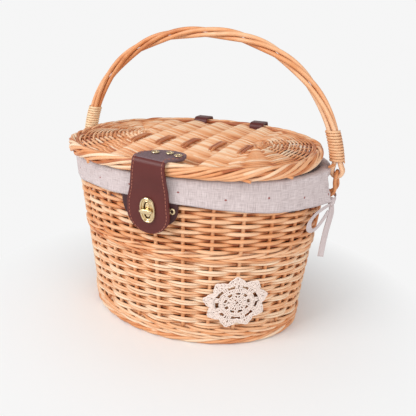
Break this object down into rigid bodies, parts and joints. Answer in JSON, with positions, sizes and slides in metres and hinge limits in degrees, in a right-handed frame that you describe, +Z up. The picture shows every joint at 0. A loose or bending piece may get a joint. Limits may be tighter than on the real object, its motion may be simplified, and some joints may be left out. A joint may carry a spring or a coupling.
{
  "type": "bicycle basket",
  "caption": "Oval willow bicycle basket with a cloth liner, hinged lid, leather clasp with a turn lock, swing handle and leather handlebar straps.",
  "frame": {"origin": "under the middle of the oval foot, on the ground", "axes": "+Z up, -Y towards the front with the clasp, +X to the right of someone who looks at the front"},
  "size_m": [0.3606, 0.3024, 0.3581],
  "materials": {
    "pale_willow": "smooth peeled rods",
    "willow": "smooth peeled rods",
    "red_willow": "smooth peeled rods",
    "cane": "smooth split rod",
    "linen": "plain weave",
    "crochet": "crocheted cotton",
    "leather": "smooth, stitched edges",
    "brass": "polished"
  },
  "bodies": {
    "basket": {"floor_weave": "pale_willow", "floor_sticks": "red_willow", "foot_border": "willow", "foot_wale": "red_willow", "stakes": "willow", "lower_weave": "pale_willow", "middle_wale": "red_willow", "upper_weave": "pale_willow", "rim_border": "willow", "liner": "linen", "ear_left": "willow", "ear_right": "willow", "wall_tab": "leather", "tab_rivet_left": "brass", "tab_rivet_right": "brass", "doily": "crochet", "tie_knot": "linen", "tie_loop": "linen", "tie_tail": "linen", "bar_strap_left": "leather", "buckle_left": "brass", "prong_left": "brass", "bar_strap_right": "leather", "buckle_right": "brass", "prong_right": "brass", "hinge_loop_left": "leather", "hinge_loop_right": "leather", "lock_base": "brass"},
    "lid": {"lid_border": "willow", "lid_centre_weave": "pale_willow", "lid_fan_left": "pale_willow", "lid_fan_right": "pale_willow", "lid_sticks": "red_willow", "lid_flap": "leather", "lid_rivet_left": "brass", "lid_rivet_middle": "brass", "lid_rivet_right": "brass"},
    "clasp": {"clasp_strap": "leather", "clasp_plate": "brass"},
    "turn_knob": {"turn_knob": "brass"},
    "handle": {"handle_rod_front": "willow", "handle_rod_back": "pale_willow", "binding_left": "cane", "binding_right": "cane", "rod_end_right": "willow"}
  },
  "joints": [
    {"name": "lid_open", "type": "hinge", "parent": "basket", "child": "lid", "pos_m": [0, 0.127, 0.213], "axis": [-1, 0, 0], "range_deg": [0, 52], "deforming": ["hinge_loop_left", "hinge_loop_right"]},
    {"name": "handle_swing", "type": "hinge", "parent": "basket", "child": "handle", "pos_m": [0, 0.01, 0.194], "axis": [-1, 0, 0], "range_deg": [0, 104]},
    {"name": "clasp_lift", "type": "hinge", "parent": "lid", "child": "clasp", "pos_m": [0, -0.139, 0.231], "axis": [-1, 0, 0], "range_deg": [0, 110], "deforming": ["clasp_strap"]},
    {"name": "knob_turn", "type": "hinge", "parent": "basket", "child": "turn_knob", "pos_m": [0, -0.12746, 0.173], "axis": [0, -0.9955, -0.0953], "range_deg": [0, 90]}
  ],
  "couplings": [
    {"joint": "handle_swing", "follows": "lid_open", "ratio": 2}
  ]
}
